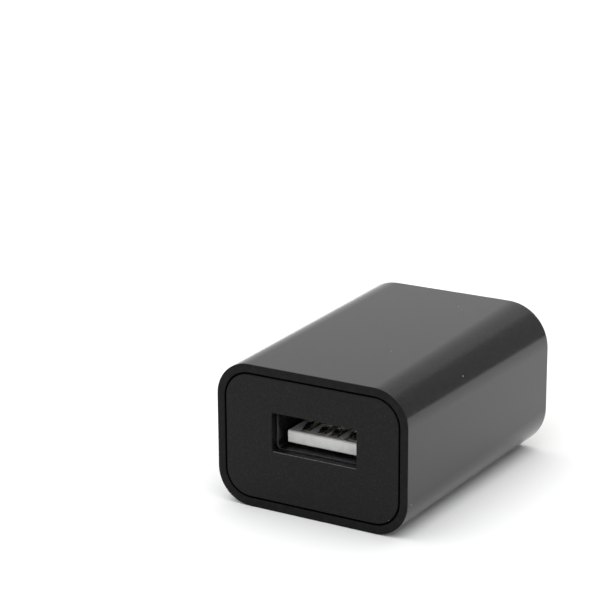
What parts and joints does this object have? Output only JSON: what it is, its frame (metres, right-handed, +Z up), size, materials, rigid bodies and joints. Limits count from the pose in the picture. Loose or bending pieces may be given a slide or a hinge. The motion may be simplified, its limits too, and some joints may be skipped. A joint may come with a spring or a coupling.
{
  "type": "usb wall charger",
  "caption": "Small black rounded-box wall charger with a fixed two-blade mains plug at one end and a USB-A socket in the opposite end panel.",
  "frame": {"origin": "centre of the plug face, the flat end panel that seats against the wall outlet, midway between the blades", "axes": "+Y along the blades into the outlet, +Z up as the charger lies on its broad side, +X to the right as seen from the USB end"},
  "size_m": [0.031, 0.058, 0.0218],
  "materials": {
    "gloss_black": "high gloss moulded black",
    "matte_black": "fine spark-textured black",
    "white_insulator": "satin off-white moulding",
    "dark_insulator": "satin dark moulding",
    "barrier_sheet": "thin pressed insulating sheet",
    "circuit_board": "glass-epoxy board with green solder mask",
    "winding_tape": "smooth yellow polyester tape",
    "ferrite": "dark grey sintered ferrite",
    "nickel": "satin nickel plated brass",
    "tinned_steel": "bright tinned steel sheet",
    "gold_plate": "gold flashed copper alloy",
    "bronze": "spring bronze sheet",
    "capacitor_sleeve": "shrunk dark blue sleeve",
    "disc_coating": "blue dipped ceramic",
    "resistor_coating": "grey-green lacquer",
    "chip_mould": "black moulded epoxy",
    "chip_ceramic": "bare ceramic with tinned ends"
  },
  "bodies": {
    "charger": {"blade_carrier": "dark_insulator", "blade_contact_left": "bronze", "blade_contact_right": "bronze", "blade_left": "nickel", "blade_right": "nickel", "bridge_rectifier": "chip_mould", "chip_capacitor_1": "chip_ceramic", "chip_capacitor_2": "chip_ceramic", "chip_capacitor_3": "chip_ceramic", "chip_capacitor_4": "chip_ceramic", "chip_resistor_1": "chip_ceramic", "chip_resistor_2": "chip_ceramic", "chip_resistor_3": "chip_ceramic", "chip_resistor_4": "chip_ceramic", "circuit_board": "circuit_board", "controller_chip": "chip_mould", "filter_choke": "dark_insulator", "fusible_resistor": "resistor_coating", "housing_sleeve": "gloss_black", "input_capacitor_1": "capacitor_sleeve", "input_capacitor_2": "capacitor_sleeve", "insulation_barrier": "barrier_sheet", "optocoupler": "chip_mould", "output_capacitor_1": "capacitor_sleeve", "output_capacitor_2": "capacitor_sleeve", "output_diode": "chip_mould", "plug_end_cap": "matte_black", "safety_capacitor": "disc_coating", "transformer_bobbin": "dark_insulator", "transformer_core_left": "ferrite", "transformer_core_right": "ferrite", "transformer_winding": "winding_tape", "usb_contact_leg_1": "gold_plate", "usb_contact_leg_2": "gold_plate", "usb_contact_leg_3": "gold_plate", "usb_contact_leg_4": "gold_plate", "usb_end_cap": "matte_black", "usb_insulator": "white_insulator", "usb_shell": "tinned_steel"},
    "contact_arm_1": {"usb_contact_1": "gold_plate"},
    "contact_arm_2": {"usb_contact_2": "gold_plate"},
    "contact_arm_3": {"usb_contact_3": "gold_plate"},
    "contact_arm_4": {"usb_contact_4": "gold_plate"}
  },
  "joints": [
    {"name": "contact_flex_1", "type": "hinge", "parent": "charger", "child": "contact_arm_1", "pos_m": [-0.00294, -0.03015, 0.0006], "axis": [1, 0, 0], "range_deg": [-0.5, 4], "stiffness_Nm_per_rad": 0.09},
    {"name": "contact_flex_2", "type": "hinge", "parent": "charger", "child": "contact_arm_2", "pos_m": [-0.00044, -0.03015, 0.0006], "axis": [1, 0, 0], "range_deg": [-0.5, 4], "stiffness_Nm_per_rad": 0.09},
    {"name": "contact_flex_3", "type": "hinge", "parent": "charger", "child": "contact_arm_3", "pos_m": [0.00156, -0.03015, 0.0006], "axis": [1, 0, 0], "range_deg": [-0.5, 4], "stiffness_Nm_per_rad": 0.09},
    {"name": "contact_flex_4", "type": "hinge", "parent": "charger", "child": "contact_arm_4", "pos_m": [0.00406, -0.03015, 0.0006], "axis": [1, 0, 0], "range_deg": [-0.5, 4], "stiffness_Nm_per_rad": 0.09}
  ]
}
